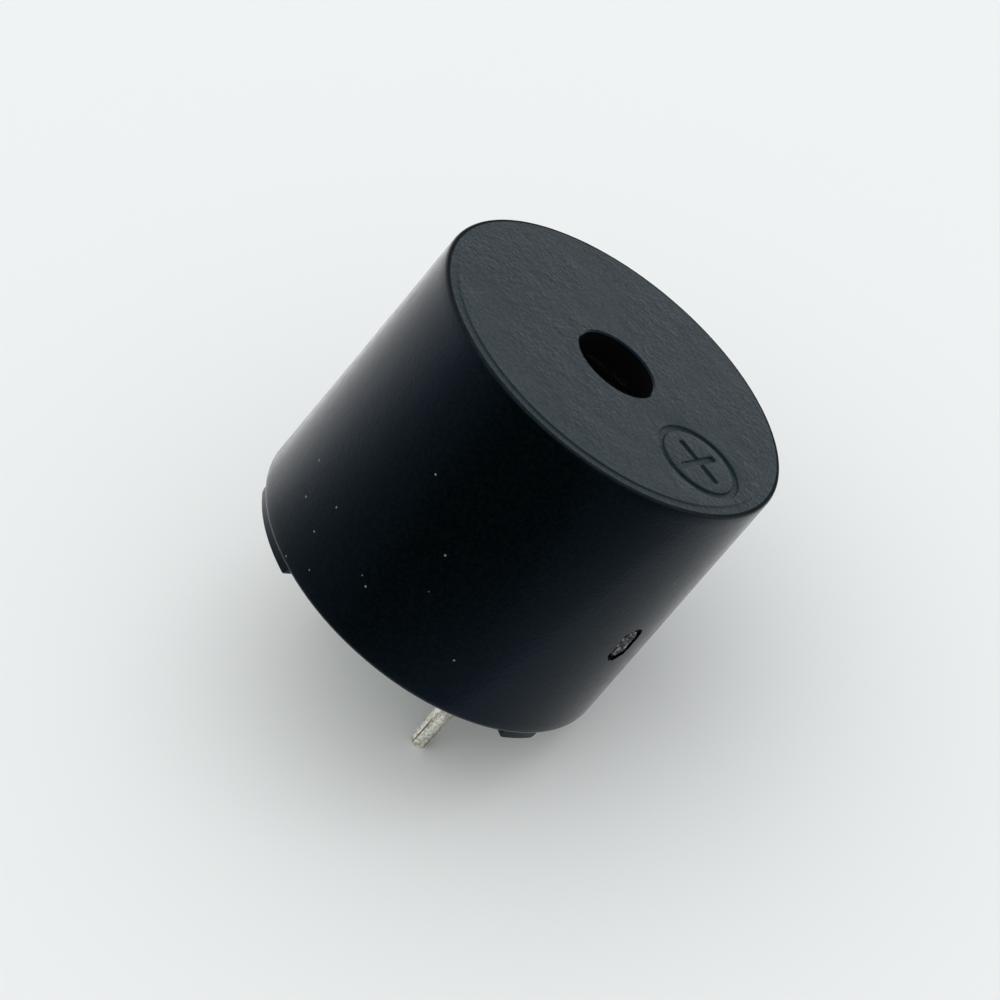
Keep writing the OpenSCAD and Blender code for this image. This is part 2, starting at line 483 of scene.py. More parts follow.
@dataclass(frozen=True)
class MouldedSide(Finish):
    """Black PBT from a polished mould: an even gloss with the faintest ripple and a few specks of dust."""

    gloss_band: Point2 = (0.35, 0.75)
    haze: float = 0.35
    ripple: float = 1.1
    ripple_depth: float = 0.006
    skin: float = 0.12
    skin_depth: float = 0.006
    second: str = "#070c0d"
    contrast: Point2 = (0.35, 0.7)
    dust_apart: float = 0.9
    dust_size: float = 0.045
    dust_color: str = "#737c7e"

    def pattern(self, surface: Surface) -> None:
        """Draws patches that are a little duller, the ripple of the cooled skin, and the dust.

        Args:
            surface: The surface to draw on.
        """
        self.vary_gloss(surface, surface.noise(self.haze, detail=4.0))
        skin = surface.noise(self.skin)
        ripple = surface.noise(self.ripple, detail=4.0)
        height = surface.stack((skin, self.skin_depth), (ripple, self.ripple_depth))
        surface.bump(height, self.skin_depth)
        shades = surface.blend(skin, self.contrast, self.color, self.second)
        cells = add_node(
            surface.tree,
            "ShaderNodeTexVoronoi",
            {"Vector": surface.spot, "Scale": 1.0 / mm(self.dust_apart)},
        )
        edge = self.dust_size / self.dust_apart
        dusty = surface.blend(cells.outputs["Distance"], (edge / 2, edge), self.dust_color, shades)
        surface.give("Base Color", dusty)


@dataclass(frozen=True)
class SparkGrain(Finish):
    """Black PBT from a spark-eroded mould face: overlapping pits that glint at a low angle.

    The real pits are finer than the render can show, so they are drawn about twice as wide.
    """

    gloss_spread: Point2 = (1.15, 0.85)
    pit: float = 0.075
    pit_depth: float = 0.016
    crater: float = 0.16
    crater_depth: float = 0.018
    lump: float = 0.42
    lump_depth: float = 0.024
    worn: float = 2.6
    worn_band: Point2 = (0.35, 0.65)
    worn_share: Point2 = (0.4, 1.3)
    wave: float = 0.8
    second: str = "#11161a"
    contrast: Point2 = (0.4, 0.6)

    def pattern(self, surface: Surface) -> None:
        """Draws pits on craters on lumps, worn low in places, and a slow change of shade.

        Args:
            surface: The surface to draw on.
        """
        pits = surface.noise(self.pit)
        craters = add_node(
            surface.tree,
            "ShaderNodeTexVoronoi",
            {"Vector": surface.spot, "Scale": 1.0 / mm(self.crater)},
            feature="SMOOTH_F1",
        )
        height = surface.stack(
            (pits, self.pit_depth),
            (surface.noise(self.lump), self.lump_depth),
            (craters.outputs["Distance"], self.crater_depth),
        )
        worn = surface.blend(surface.noise(self.worn), self.worn_band, *self.worn_share)
        eroded = add_node(surface.tree, "ShaderNodeMath", {0: height, 1: worn}, operation="MULTIPLY")
        surface.bump(eroded.outputs[0], self.pit_depth)
        self.vary_gloss(surface, pits)
        waves = surface.noise(self.wave, detail=3.0)
        surface.give("Base Color", surface.blend(waves, self.contrast, self.color, self.second))


@dataclass(frozen=True)
class TinPlate(Finish):
    """Tin-plated wire: a bright metal with dark draw lines along its length.

    The real lines and grain are too fine to show, so both are drawn several times as wide.
    """

    gloss_spread: Point2 = (0.7, 1.4)
    line: float = 0.14
    line_stretch: float = 25.0
    grain: float = 0.09
    depth: float = 0.008
    second: str = "#b9b5a7"
    contrast: Point2 = (0.35, 0.6)
    scored: str = "#5c574c"
    scored_band: Point2 = (0.36, 0.46)

    def pattern(self, surface: Surface) -> None:
        """Draws the draw lines and the grain of the plating.

        Args:
            surface: The surface to draw on.
        """
        lines = surface.noise(self.line, stretch=(1.0, 1.0, self.line_stretch))
        grains = surface.noise(self.grain, detail=3.0)
        self.vary_gloss(surface, lines)
        bright = surface.blend(grains, self.contrast, self.second, self.color)
        surface.give("Base Color", surface.blend(lines, self.scored_band, self.scored, bright))
        surface.bump(grains, self.depth)


@dataclass(frozen=True)
class Frosted(Finish):
    """Cooled solder: a bright alloy whose skin is frosted in patches."""

    gloss_band: Point2 = (0.4, 0.65)
    gloss_spread: Point2 = (0.6, 1.6)
    patch: float = 0.18
    wrinkle: float = 0.05
    depth: float = 0.002

    def pattern(self, surface: Surface) -> None:
        """Draws the frosted patches and their fine wrinkles."""
        self.vary_gloss(surface, surface.noise(self.patch, detail=4.0))
        surface.bump(surface.noise(self.wrinkle), self.depth)


@dataclass(frozen=True)
class WovenBoard(Finish):
    """Glass-epoxy board under green solder mask: the weave shows through as a faint grid."""

    yarn: float = 0.45
    deep: str = "#1c4a2c"
    depth: float = 0.004

    def pattern(self, surface: Surface) -> None:
        """Draws the grid of glass yarns in the colour and, very slightly, in the surface.

        Args:
            surface: The surface to draw on.
        """
        inputs = {"Vector": surface.spot, "Scale": WAVE_WIDTH / mm(self.yarn)}
        bands = {
            number: add_node(surface.tree, "ShaderNodeTexWave", inputs, bands_direction=axis).outputs["Fac"]
            for number, axis in enumerate("XY")
        }
        grid = add_node(surface.tree, "ShaderNodeMath", bands, operation="MULTIPLY").outputs[0]
        ends = {"Factor": grid, 6: linear(self.deep), 7: linear(self.color)}
        mixed = add_node(surface.tree, "ShaderNodeMix", ends, data_type="RGBA")
        surface.give("Base Color", mixed.outputs[2])
        surface.bump(grid, self.depth)


@dataclass(frozen=True)
class Rolled(Finish):
    """Rolled or turned metal: fine scratches one way over a satin sheen."""

    scratch: float = 0.04
    scratch_stretch: float = 30.0
    depth: float = 0.0015

    def pattern(self, surface: Surface) -> None:
        """Draws the rolling marks in the gloss and the surface.

        Args:
            surface: The surface to draw on.
        """
        marks = surface.noise(self.scratch, detail=3.0, stretch=(self.scratch_stretch, 1.0, 1.0))
        self.vary_gloss(surface, marks)
        surface.bump(marks, self.depth)


@dataclass(frozen=True)
class Mottled(Finish):
    """A moulded, sintered or poured material with soft patches of a second shade."""

    second: str = "#000000"
    patch: float = 0.3
    depth: float = 0.004
    contrast: Point2 = (0.0, 1.0)

    def pattern(self, surface: Surface) -> None:
        """Draws the patches in the colour and a fine unevenness in the surface.

        Args:
            surface: The surface to draw on.
        """
        patches = surface.noise(self.patch, detail=5.0)
        surface.give("Base Color", surface.blend(patches, self.contrast, self.color, self.second))
        surface.bump(patches, self.depth)


# PBT moulded against polished steel. Its gloss is low and bluish, which gives the side its deep black.
CASE_SIDE = MouldedSide("case_side_pbt", "#020709", roughness=0.18, ior=1.275, tint="#9fcdff")
# The same PBT, moulded against a spark-eroded face, which scatters the light into a soft blue-grey.
CASE_FACE = SparkGrain("case_face_pbt", "#0b1113", roughness=0.47, ior=1.43, tint="#98d2ee")
# The same PBT on the sharp edge between them, made dull and almost unreflecting: painted shade, a dark line
# along the rim.
CASE_EDGE_PAINTED_SHADE = Mottled("case_edge_painted_shade", "#14181a", roughness=0.7, ior=1.05, second="#22272a", patch=0.12)
# The same black PBT inside the case, made dull and almost unreflecting: painted shade that keeps the sound
# hole black. The deep crevices of the gate scar get it too, as painted shade.
CASE_INSIDE_AND_SHADE = Mottled("case_inside_painted_shade", "#020304", roughness=0.6, ior=1.2, second="#040506", patch=0.2)
# The same PBT where the gate was broken off: torn, stress-whitened and dull.
CASE_TORN = Mottled(
    "torn_pbt", "#101416", roughness=0.55, second="#969d9c", patch=0.15, depth=0.05, contrast=(0.5, 0.68)
)
TIN = TinPlate("tinned_wire", "#f0eee6", roughness=0.24, metallic=1.0)
SOLDER = Frosted("cooled_solder", "#c3c5c6", roughness=0.28, metallic=1.0)
BOARD = WovenBoard("masked_laminate", "#2c6a3e", roughness=0.35)
# Copper foil under a thin tin wash, which leaves it a pale brass colour.
LAND = Rolled("copper_foil", "#c9a15a", roughness=0.34, metallic=1.0)
# Copper wire in clear red-brown enamel: metal that shows through a glossy skin.
WIRE = Rolled("enamelled_wire", "#a4562a", roughness=0.22, metallic=0.85, depth=0.0004)
# Epoxy poured round the board: glossy black with slow waves.
RESIN = Mottled("seal_epoxy", "#101113", roughness=0.16, second="#17181a", patch=0.8, depth=0.01)
# Sintered ferrite: charcoal grey with a fine, dry grain.
FERRITE = Mottled("sintered_ferrite", "#37383b", roughness=0.6, second="#45464a", patch=0.06)
# Natural, unfilled plastic: ivory and slightly waxy.
RING = Mottled("natural_acetal", "#d6d1c0", roughness=0.45, second="#cdc7b4", patch=0.9, depth=0.002)
# Zinc-plated soft iron: satin, bluish and turned.
IRON = Rolled("zinc_plated_iron", "#a9adb3", roughness=0.36, metallic=1.0)
# Cold-rolled spring steel foil: bright, with the roll's fine lines.
FOIL = Rolled("spring_steel_foil", "#b7babf", roughness=0.26, metallic=1.0)


def dress(piece: bpy.types.Object, finish: Finish) -> None:
    """Gives a piece one finish all over.

    Args:
        piece: The mesh object.
        finish: The finish for all its faces.
    """
    piece.data.materials.clear()
    piece.data.materials.append(finish.material())


def settle(piece: bpy.types.Object, *nodes: str) -> None:
    """Puts a finished piece in the place of CAD nodes, on the one body of the part.

    Args:
        piece: The finished piece.
        *nodes: CAD nodes that it stands for.
    """
    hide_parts(*nodes)
    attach(piece, BODY)
    LOG.info("%s: %d faces, stands for %s", piece.name, len(piece.data.polygons), ", ".join(nodes))


# ---------------------------------------------------------------- geometry node trees


@dataclass(frozen=True)
class GrowthInput:
    """One named input of a Geometry Nodes tree."""

    name: str
    kind: str
    value: object


def growth_tree(name: str, inputs: Sequence[GrowthInput]) -> tuple[Tree, bpy.types.Node]:
    """Starts a Geometry Nodes tree with named inputs.

    Args:
        name: Name of the tree.
        inputs: Its inputs after the geometry.

    Returns:
        The tree and its input node.
    """
    tree = bpy.data.node_groups.new(name, "GeometryNodeTree")
    tree.interface.new_socket("Geometry", in_out="INPUT", socket_type="NodeSocketGeometry")
    for entry in inputs:
        tree.interface.new_socket(entry.name, in_out="INPUT", socket_type=entry.kind)
    tree.interface.new_socket("Geometry", in_out="OUTPUT", socket_type="NodeSocketGeometry")
    return tree, tree.nodes.new("NodeGroupInput")


def close_tree(tree: Tree, geometry: Socket, material: Socket) -> None:
    """Ends a tree with Set Shade Smooth, Realize Instances and Set Material.

    Args:
        tree: The tree.
        geometry: Socket of its finished geometry.
        material: Socket of the material.
    """
    smooth = add_node(tree, "GeometryNodeSetShadeSmooth", {"Geometry": geometry})
    real = add_node(tree, "GeometryNodeRealizeInstances", {"Geometry": smooth.outputs[0]})
    painted = add_node(tree, "GeometryNodeSetMaterial", {"Geometry": real.outputs[0], "Material": material})
    add_node(tree, "NodeGroupOutput", {"Geometry": painted.outputs[0]})


def grow(piece: bpy.types.Object, tree: Tree, inputs: Sequence[GrowthInput]) -> None:
    """Runs a Geometry Nodes tree on a piece and keeps the result as its plain mesh.

    Args:
        piece: The object that carries the tree's input geometry.
        tree: The tree.
        inputs: Its named inputs with their values.
    """
    modifier = piece.modifiers.new(tree.name, "NODES")
    modifier.node_group = tree
    sockets = {item.name: item.identifier for item in tree.interface.items_tree if item.in_out == "INPUT"}
    for entry in inputs:
        modifier[sockets[entry.name]] = entry.value
    harden(piece)


# ---------------------------------------------------------------- case


class Skin(IntEnum):
    """The finishes of the case, by their place in its list of materials."""

    SIDE = 0
    FACE = 1
    # Also painted shade, in the sound hole and in the gate scar's crevices.
    INSIDE = 2
    TORN = 3
    # A painted dark line of shade along the rim.
    EDGE = 4


@dataclass
class Case:
    """The moulded case: one shell with its roof, feet, engraved mark and gate scar.

    Its radius at the bottom edge and the height of its top are the frame's. Fields that end in turn,
    spread, arc or draft are angles in degrees.
    """

    draft: float = 0.9
    wall: float = 0.8
    roof: float = 0.9
    edge_round: float = 0.1
    edge_rub: float = 0.04
    bottom_round: float = 0.18
    shoulder: float = 0.32
    shoulder_bevel: float = 0.05
    face_rise: float = 0.04
    hole_radius: float = 1.3
    hole_bevel: float = 0.05
    chamber_height: float = 1.2
    ledge: float = 0.6
    foot_height: float = 0.3
    foot_width: float = 0.55
    foot_inset: float = 0.12
    foot_turn: float = -4.0
    foot_spread: float = 107.5
    narrow_foot_arc: float = 13.5
    wide_foot_arc: float = 35.0
    foot_edge: float = 0.03
    foot_blunt: float = 0.14
    # Share of the bottom rounding that a foot reaches up into the wall.
    foot_sink: float = 0.9
    mark_turn: float = 9.6
    mark_reach: float = 3.8
    mark_radius: float = 1.4
    mark_line: float = 0.2
    mark_depth: float = 0.09
    mark_lip: float = 0.05
    mark_floor_round: float = 0.054
    plus_length: float = 1.65
    gate_turn: float = 6.4
    gate_height: float = 3.95
    gate_size: Point2 = (0.86, 1.4)
    gate_depth: float = 0.12
    # The scar from its outline to its middle: share of its size, and height above its floor.
    gate_levels: tuple[Point2, ...] = (
        (1.0, 0.03), (0.96, 0.0), (0.8, 0.0), (0.74, 0.07), (0.6, 0.1),
        (0.46, 0.085), (0.32, 0.115), (0.18, 0.1), (0.08, 0.115),
    )
    gate_ragged: Point2 = (-0.09, 0.05)
    gate_shake: float = 0.022
    gate_steps: int = 14
    gate_seed: int = 7
    # Where one skin ends and the next starts: depths in millimetres, reaches as shares of the scar.
    skin_slack: float = 0.016
    edge_skin: float = 0.024
    gate_reach: float = 1.15
    gate_shadow: float = 0.066
    gate_skin: float = 0.003
    stub_reach: float = 0.8
    side_rings: int = 36
    foot_steps: int = 12
    over: float = 0.5
    radius: float = field(init=False)
    top: float = field(init=False)
    piece: bpy.types.Object = field(init=False)

    def __post_init__(self) -> None:
        """Reads the case's radius and the height of its raised face."""
        self.radius, _, self.top = span("case")

    @property
    def slope(self) -> float:
        """How far the side leans in for each millimetre of height."""
        return math.tan(math.radians(self.draft))

    @property
    def top_radius(self) -> float:
        """Radius of the side at the height of the raised face."""
        return self.radius - (self.top - self.foot_height) * self.slope

    @property
    def face_radius(self) -> float:
        """Radius of the raised face."""
        return self.top_radius - self.edge_round - self.shoulder

    def profile(self) -> list[Point2]:
        """Lists the corners of the shell's section, from the bottom edge outwards and round.

        Returns:
            Radius and height of each corner.
        """
        low = self.foot_height
        shoulder_z = self.top - self.face_rise
        edge_x = self.top_radius - self.edge_round
        edge_z = shoulder_z - self.edge_round
        bore = self.radius - self.wall
        chamber = bore - self.ledge
        roof_z = self.top - self.roof
        ledge_z = roof_z - self.chamber_height
        start_z = low + self.bottom_round
        return [
            *arc((self.radius - self.bottom_round, start_z), self.bottom_round, -90, 0, steps=6)[:-1],
            *rise((self.radius, start_z), (self.top_radius, edge_z), self.side_rings),
            *arc((edge_x, edge_z), self.edge_round, 0, 90, steps=10)[1:],
            (edge_x - self.edge_rub, shoulder_z),
            (self.face_radius + self.shoulder_bevel, shoulder_z),
            (self.face_radius, self.top),
            (self.hole_radius + self.hole_bevel, self.top),
            (self.hole_radius, self.top - self.hole_bevel),
            (self.hole_radius, roof_z),
            (chamber, roof_z),
            (chamber, ledge_z),
            (bore, ledge_z),
            (bore, low),
        ]

    def groove_section(self) -> list[Point2]:
        """Lists the section of an engraved line: half width and height above the face.

        Returns:
            The levels from above the face down to the floor of the line.
        """
        half, lip, floor = self.mark_line / 2, self.mark_lip, self.mark_floor_round
        return [
            (half + lip, self.over),
            *arc((half + lip, -lip), lip, 90, 180, steps=4),
            *arc((half - floor, floor - self.mark_depth), floor, 0, -90, steps=3),
        ]

    def ring_tool(self) -> bpy.types.Object:
        """Makes the solid that engraves the circle.

        Returns:
            The tool, its face level at z = 0.
        """
        middle = self.mark_radius - self.mark_line / 2
        section = self.groove_section()
        outer = [(middle + half, level) for half, level in section]
        inner = [(middle - half, level) for half, level in reversed(section)]
        return turned("ring_tool", outer + inner, segments=96)

    def plus_tool(self) -> bpy.types.Object:
        """Makes the solid that engraves the plus.

        Returns:
            The tool, its face level at z = 0.
        """
        loops = []
        for half, level in self.groove_section():
            reach = self.plus_length / 2 + half - self.mark_line / 2
            loops.append([(x, y, level) for x, y in plus_outline(half, reach)])
        return lofted("plus_tool", loops)

    def gate_tool(self) -> bpy.types.Object:
        """Makes the solid that cuts the gate scar, with a broken stub left standing in it.

        Returns:
            The tool, its length along +X and its floor at x = 0.
        """
        rough = random.Random(self.gate_seed)
        width, tall = self.gate_size
        outline = [1 + rough.uniform(*self.gate_ragged) for _ in range(4 * self.gate_steps)]
        mouth = (1.0, self.gate_depth + self.over)
        loops = []
        for share, level in (mouth, *self.gate_levels):
            shake = 0.0 if share == 1.0 else self.gate_shake
            loop = []
            for ragged, (y, z) in zip(outline, stadium(width * share, tall * share, self.gate_steps)):
                loop.append((max(0.0, level + rough.uniform(-shake, shake)), y * ragged, z * ragged))
            loops.append(loop)
        return lofted("gate_tool", loops)

    def foot(self, turn: float, sweep: float) -> bpy.types.Object:
        """Makes one arc-shaped foot.

        Args:
            turn: Direction of its middle in degrees.
            sweep: Its arc in degrees.

        Returns:
            The foot, which reaches into the wall above it.
        """
        outer = self.radius - self.foot_inset
        inner = outer - self.foot_width
        edge, blunt = self.foot_edge, self.foot_blunt
        top = self.foot_height + self.bottom_round * self.foot_sink
        straight = math.radians(sweep / 2) * outer - blunt
        end = [(straight + blunt * math.sin(a), blunt - blunt * math.cos(a)) for a in quarter_steps(6)]
        start = [(-along, low) for along, low in reversed(end)]
        steps = self.foot_steps
        middle = [(straight * i / steps, 0.0) for i in range(1 - steps, steps)]
        loops = []
        for along, low in start + middle + end:
            section = [(inner, top), (inner, low + edge), (inner + edge, low)]
            section += [(outer - edge, low), (outer, low + edge), (outer, top)]
            a = math.radians(turn) + along / outer
            loops.append([(r * math.cos(a), r * math.sin(a), z) for r, z in section])
        return lofted("foot", loops)

    def build(self) -> None:
        """Builds the shell, adds its feet and cuts its mark and gate scar."""
        self.piece = turned("case_shell", self.profile(), segments=288)
        feet = [(self.foot_turn, self.narrow_foot_arc)]
        feet += [(self.foot_turn + side * self.foot_spread, self.wide_foot_arc) for side in (-1, 1)]
        for turn, sweep in feet:
            combine(self.piece, self.foot(turn, sweep), Cut.ADD)
        to_mark = around(self.mark_turn, (self.mark_reach, 0.0, self.top))
        for tool in (self.ring_tool(), self.plus_tool()):
            combine(self.piece, place(tool, to_mark), Cut.TAKE)
        floor_radius = self.radius - self.gate_height * self.slope - self.gate_depth
        to_gate = around(self.gate_turn, (floor_radius, 0.0, self.foot_height + self.gate_height))
        combine(self.piece, place(self.gate_tool(), to_gate), Cut.TAKE)
        shade(self.piece.data)

    def gate_share(self, spot: Vector) -> float:
        """Says how far out in the gate scar a spot is.

        Args:
            spot: The spot, in millimetres.

        Returns:
            0 in the scar's middle, 1 on its outline and more beyond it.
        """
        turned_by = math.atan2(spot.y, spot.x) - math.radians(self.gate_turn)
        along = turned_by * math.hypot(spot.x, spot.y)
        above = spot.z - self.foot_height - self.gate_height
        width, tall = self.gate_size
        return math.hypot(along / (width / 2), above / (tall / 2))

    def skin_at(self, spot: Vector) -> Skin:
        """Says which finish a face of the case has.

        Args:
            spot: Middle of the face, in millimetres.

        Returns:
            Its finish.
        """
        reach = math.hypot(spot.x, spot.y)
        edge_in = self.top_radius - self.edge_round - self.edge_rub
        face_low = self.top - self.mark_depth - self.skin_slack
        if spot.z > face_low and self.hole_radius + self.hole_bevel / 2 < reach < edge_in:
            return Skin.FACE
        # Inside the case, the dull skin paints the shade that keeps the sound hole black.
        inside = reach < self.radius - self.wall + self.skin_slack
        if inside and self.foot_height + self.skin_slack < spot.z < face_low:
            return Skin.INSIDE
        # The rim edge gets the dull skin that paints a dark line of shade along it.
        if spot.z > self.top - self.face_rise - self.edge_skin and reach > edge_in:
            return Skin.EDGE
        if self.gate_share(spot) < self.gate_reach:
            depth = self.radius - (spot.z - self.foot_height) * self.slope - reach
            # Deep in the scar, the dull inside skin paints the shade of its crevices.
            if depth > self.gate_shadow:
                return Skin.INSIDE
            if depth > self.gate_skin and self.gate_share(spot) < self.stub_reach:
                return Skin.TORN
        return Skin.SIDE

    def dress(self) -> None:
        """Gives the face its grain and the side its polish, and paints shade with dull skins: the inside
        its dull skin, and the same in the gate scar's crevices and along the rim edge.
        """
        mesh = self.piece.data
        mesh.materials.clear()
        finishes = {
            Skin.SIDE: CASE_SIDE,
            Skin.FACE: CASE_FACE,
            Skin.INSIDE: CASE_INSIDE_AND_SHADE,
            Skin.TORN: CASE_TORN,
            Skin.EDGE: CASE_EDGE_PAINTED_SHADE,
        }
        for skin in Skin:
            mesh.materials.append(finishes[skin].material())
        for polygon in mesh.polygons:
            polygon.material_index = self.skin_at(polygon.center / MM)
        settle(self.piece, "case")


def quarter_steps(steps: int) -> list[float]:
    """Lists the angles of a quarter turn in radians, both ends included."""
    return [math.pi / 2 * i / steps for i in range(steps + 1)]


def plus_outline(half: float, reach: float) -> list[Point2]:
    """Lists the outline of a plus sign with rounded ends.

    Args:
        half: Half the width of its strokes.
        reach: Length of each arm from the centre.

    Returns:
        Its points in order round the outline.
    """
    blunt = half * PLUS_BLUNT
    arm = [(half, -half)]
    arm += arc((reach - blunt, blunt - half), blunt, -90, 0, steps=4)
    arm += arc((reach - blunt, half - blunt), blunt, 0, 90, steps=4)
    turns = [Matrix.Rotation(math.radians(90 * quarter), 2) for quarter in range(4)]
    return [tuple(turn @ Vector(p)) for turn in turns for p in arm]


def stadium(width: float, tall: float, steps: int) -> list[Point2]:
    """Lists the outline of a slot with round ends, its long side upright.

    Args:
        width: Full width.
        tall: Full height.
        steps: Steps in each round end.

    Returns:
        Its points in order round the outline.
    """
    straight = (tall - width) / 2
    top = arc((0, straight), width / 2, 0, 180, steps)
    bottom = arc((0, -straight), width / 2, 180, 360, steps)
    return top + bottom


# ---------------------------------------------------------------- terminals and board


class Polarity(Enum):
    """The two sides of the part, with the half turn that leads to each."""

    POSITIVE = 0.0
    NEGATIVE = 180.0

    @property
    def label(self) -> str:
        """Ending of this side's node names."""
        return self.name.lower()


@dataclass
class Terminal:
    """One side's pin with its solder, its land, and the coil lead with its solder."""

    side: Polarity
    pin_x: float = 3.25
    pin_radius: float = 0.3
    pin_step: float = 0.05
    pin_length: float = 3.45
    pin_top: float = 2.2
    tip_round: float = 0.2
    land_z: float = 1.05
    land_radius: float = 0.95
    land_margin: float = 0.12
    lead_land_radius: float = 0.55
    lead_land_in: float = 1.1
    lead_land_out: float = 1.75
    solder_height: float = 0.55
    lead_solder_height: float = 0.32
    lead_diameter: float = 0.12
    lead_gap: float = 0.01
    coil_radius: float = 2.9
    lead_y: float = 3.2
    lead_z: float = 3.2

    @property
    def lead_end(self) -> Point2:
        """Where the lead is soldered to its land."""
        return (self.pin_x - self.lead_land_in, self.lead_land_out)

    def pin_profile(self) -> list[Point2]:
        """Lists the section of the pin.

        Returns:
            Its points from the top down the middle and back up the outside.
        """
        shank = self.pin_radius + self.pin_step
        step_z = self.land_z - self.solder_height
        tip = (self.pin_radius - self.tip_round, self.tip_round - self.pin_length)
        return [
            (0.0, self.pin_top),
            (0.0, -self.pin_length),
            *arc(tip, self.tip_round, -90, 0, steps=10),
            (self.pin_radius, step_z - self.pin_step),
            (shank, step_z),
            (shank, self.pin_top),
        ]

    def solder_profile(self) -> list[Point2]:
        """Lists the section of the concave solder cone round the pin.

        Returns:
            Its points from the shank out to the land and back down to the shank.
        """
        shank = self.pin_radius + self.pin_step
        reach = self.land_radius - self.land_margin
        wide, tall = reach - shank, self.solder_height
        curve = [
            (reach - wide * math.sin(a), self.land_z - tall * (1 - math.cos(a))) for a in quarter_steps(16)
        ]
        return [(shank, self.land_z), *curve]

    def dome_profile(self) -> list[Point2]:
        """Lists the section of the solder dome over the lead's end.

        Returns:
            Its points from the middle of the land down and out to the dome's rim.
        """
        foot, tall = self.lead_land_radius - self.land_margin, self.lead_solder_height
        ball = (foot * foot + tall * tall) / (2 * tall)
        half_angle = math.degrees(math.asin(foot / ball))
        curve = arc((0.0, self.land_z - tall + ball), ball, -90, half_angle - 90, steps=14)
        return [(0.0, self.land_z), (0.0, curve[0][1]), *curve[1:]]

    def route(self) -> list[Point3]:
        """Lists the corners of the lead's way from the coil to its land.

        Returns:
            Its corners, on the positive side.
        """
        run_z = self.land_z - self.lead_gap - self.lead_diameter / 2
        return [
            (0.0, self.coil_radius + self.lead_gap, self.lead_z),
            (0.0, self.lead_y, self.lead_z),
            (0.0, self.lead_y, run_z),
            (*self.lead_end, run_z),
        ]

    def build(self) -> None:
        """Builds and dresses the pin, the two patches of solder and the lead."""
        at_pin = around(self.side.value, (self.pin_x, 0.0, 0.0))
        at_end = around(self.side.value, (*self.lead_end, 0.0))
        label = self.side.label
        pieces = (
            ("pin", self.pin_profile(), at_pin, TIN, "tinned_pin"),
            ("pin_solder", self.solder_profile(), at_pin, SOLDER, "solder"),
            ("lead_solder", self.dome_profile(), at_end, SOLDER, "solder"),
        )
        for name, profile, matrix, finish, slot in pieces:
            piece = place(turned(f"{name}_{label}_smooth", profile, segments=96), matrix)
            dress(piece, finish)
            settle(piece, f"{name}_{label}")
        self.build_lead()

    def build_lead(self) -> None:
        """Grows the lead's round wire along its way."""
        inputs = (
            GrowthInput("Wire Radius", "NodeSocketFloat", mm(self.lead_diameter / 2)),
            GrowthInput("Bend Radius", "NodeSocketFloat", mm(self.lead_diameter)),
            GrowthInput("Material", "NodeSocketMaterial", WIRE.material()),
        )
        mesh = bpy.data.meshes.new("lead_way")
        points = [tuple(mm(c) for c in p) for p in self.route()]
        mesh.from_pydata(points, [(i, i + 1) for i in range(len(points) - 1)], [])
        piece = place(put(f"lead_{self.side.label}_wire", mesh), around(self.side.value))
        grow(piece, lead_tree(inputs), inputs)
        settle(piece, f"lead_{self.side.label}")


def lead_tree(inputs: Sequence[GrowthInput]) -> Tree:
    """Builds the tree that lays a round wire along a line of edges.

    Args:
        inputs: Its named inputs.

    Returns:
        The tree, made once and shared.
    """
    known = bpy.data.node_groups.get("lead_wire")
    if known:
        return known
    tree, start = growth_tree("lead_wire", inputs)
    line = add_node(tree, "GeometryNodeMeshToCurve", {"Mesh": start.outputs["Geometry"]})
    bent = add_node(
        tree,
        "GeometryNodeFilletCurve",
        {"Curve": line.outputs[0], "Count": 8, "Radius": start.outputs["Bend Radius"]},
        mode="POLY",
    )
    round_wire = add_node(
        tree, "GeometryNodeCurvePrimitiveCircle", {"Resolution": 20, "Radius": start.outputs["Wire Radius"]}
    )
    tube = add_node(
        tree,
        "GeometryNodeCurveToMesh",
        {"Curve": bent.outputs[0], "Profile Curve": round_wire.outputs[0], "Fill Caps": True},
    )
    close_tree(tree, tube.outputs[0], start.outputs["Material"])
    return tree


@dataclass
class Board:
    """The circuit board with its two lands, and the resin bead that seals it into the case."""

    bead_steps: int = 16
    bead_segments: int = 192

    def build(self) -> None:
        """Builds the bead's smooth ring, hollow as resin sets in a corner."""
        radius, low, high = span("seal_bead")
        creep = high - low
        profile = [(radius, high), *arc((radius - creep, low), creep, 90, 0, self.bead_steps)]
        bead = turned("seal_bead_smooth", profile, segments=self.bead_segments)
        dress(bead, RESIN)
        settle(bead, "seal_bead")

    def dress(self) -> None:
        """Gives the board and the lands, which keep their CAD shapes, their finishes."""
        repaint(BOARD, "circuit_board")
        repaint(LAND, "land_positive", "land_negative")


def repaint(finish: Finish, *nodes: str) -> None:
    """Gives CAD nodes that keep their own shape a finish.

    Args:
        finish: The finish.
        *nodes: Names of the nodes.
    """
    for name in nodes:
        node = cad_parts[name]
        if not node.material_slots:
            node.data.materials.append(None)
        for holder in node.material_slots:
            holder.material = finish.material()
        LOG.info("%s: keeps its CAD shape, finish %s", name, finish.name)


# ---------------------------------------------------------------- sounder


